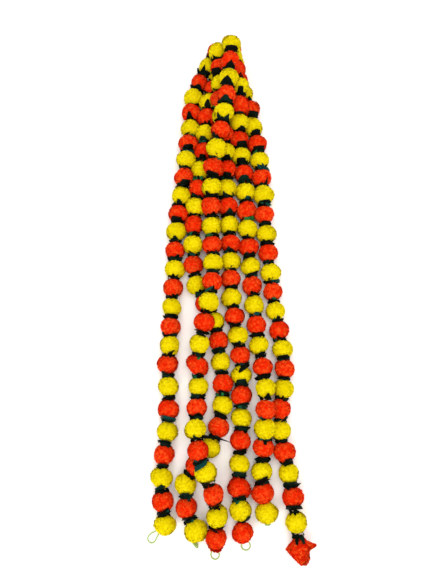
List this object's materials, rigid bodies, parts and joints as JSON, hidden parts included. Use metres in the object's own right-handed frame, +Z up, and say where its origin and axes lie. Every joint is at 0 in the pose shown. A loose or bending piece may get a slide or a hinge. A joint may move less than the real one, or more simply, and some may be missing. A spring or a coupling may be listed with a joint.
{
  "type": "marigold garland",
  "caption": "Bundle of long strung garlands of pom-pom marigold blooms, yellow and orange by turns with dark leaf collars, laid flat and tied together at one end.",
  "frame": {"origin": "centre of the garland's box on the surface it lies on, loose-end loops left out", "axes": "+Y along the strands towards the tied end, +Z up from the surface, +X to the right when looking down with the tied end at the top"},
  "size_m": [0.4515, 1.5752, 0.1482],
  "materials": {
    "marigold_yellow": "matte, short crinkled petals",
    "marigold_orange": "matte, short crinkled petals",
    "leaf_green": "satin, waxy dark green",
    "string_green": "twisted fine string"
  },
  "bodies": {
    "root": {"strand_1_run_1": "marigold_orange", "strand_1_run_2": "marigold_orange", "strand_1_run_3": "marigold_yellow", "strand_1_run_4": "marigold_orange", "strand_1_run_5": "marigold_yellow", "strand_1_run_6": "marigold_orange", "strand_1_run_7": "marigold_yellow", "strand_1_run_8": "marigold_orange", "strand_1_string": "string_green", "strand_1_end_loop": "string_green", "strand_2_run_1": "marigold_orange", "strand_2_run_2": "marigold_orange", "strand_2_run_3": "marigold_yellow", "strand_2_run_4": "marigold_orange", "strand_2_run_5": "marigold_yellow", "strand_2_run_6": "marigold_orange", "strand_2_run_7": "marigold_yellow", "strand_2_run_8": "marigold_orange", "strand_2_string": "string_green", "strand_2_end_loop": "string_green", "strand_3_run_1": "marigold_yellow", "strand_3_run_2": "marigold_yellow", "strand_3_run_3": "marigold_orange", "strand_3_run_4": "marigold_yellow", "strand_3_run_5": "marigold_orange", "strand_3_run_6": "marigold_yellow", "strand_3_run_7": "marigold_orange", "strand_3_run_8": "marigold_yellow", "strand_3_string": "string_green", "strand_3_end_loop": "string_green", "strand_4_run_1": "marigold_yellow", "strand_4_run_2": "marigold_yellow", "strand_4_run_3": "marigold_orange", "strand_4_run_4": "marigold_yellow", "strand_4_run_5": "marigold_orange", "strand_4_run_6": "marigold_yellow", "strand_4_run_7": "marigold_orange", "strand_4_run_8": "marigold_yellow", "strand_4_string": "string_green", "strand_4_end_loop": "string_green", "strand_5_run_1": "marigold_orange", "strand_5_run_2": "marigold_orange", "strand_5_run_3": "marigold_yellow", "strand_5_run_4": "marigold_orange", "strand_5_run_5": "marigold_yellow", "strand_5_run_6": "marigold_orange", "strand_5_run_7": "marigold_yellow", "strand_5_run_8": "marigold_orange", "strand_5_string": "string_green", "strand_5_end_loop": "string_green", "strand_6_run_1": "marigold_yellow", "strand_6_run_2": "marigold_yellow", "strand_6_run_3": "marigold_orange", "strand_6_run_4": "marigold_yellow", "strand_6_run_5": "marigold_orange", "strand_6_run_6": "marigold_yellow", "strand_6_run_7": "marigold_orange", "strand_6_run_8": "marigold_yellow", "strand_6_string": "string_green", "top_tie": "string_green"}
  },
  "joints": []
}
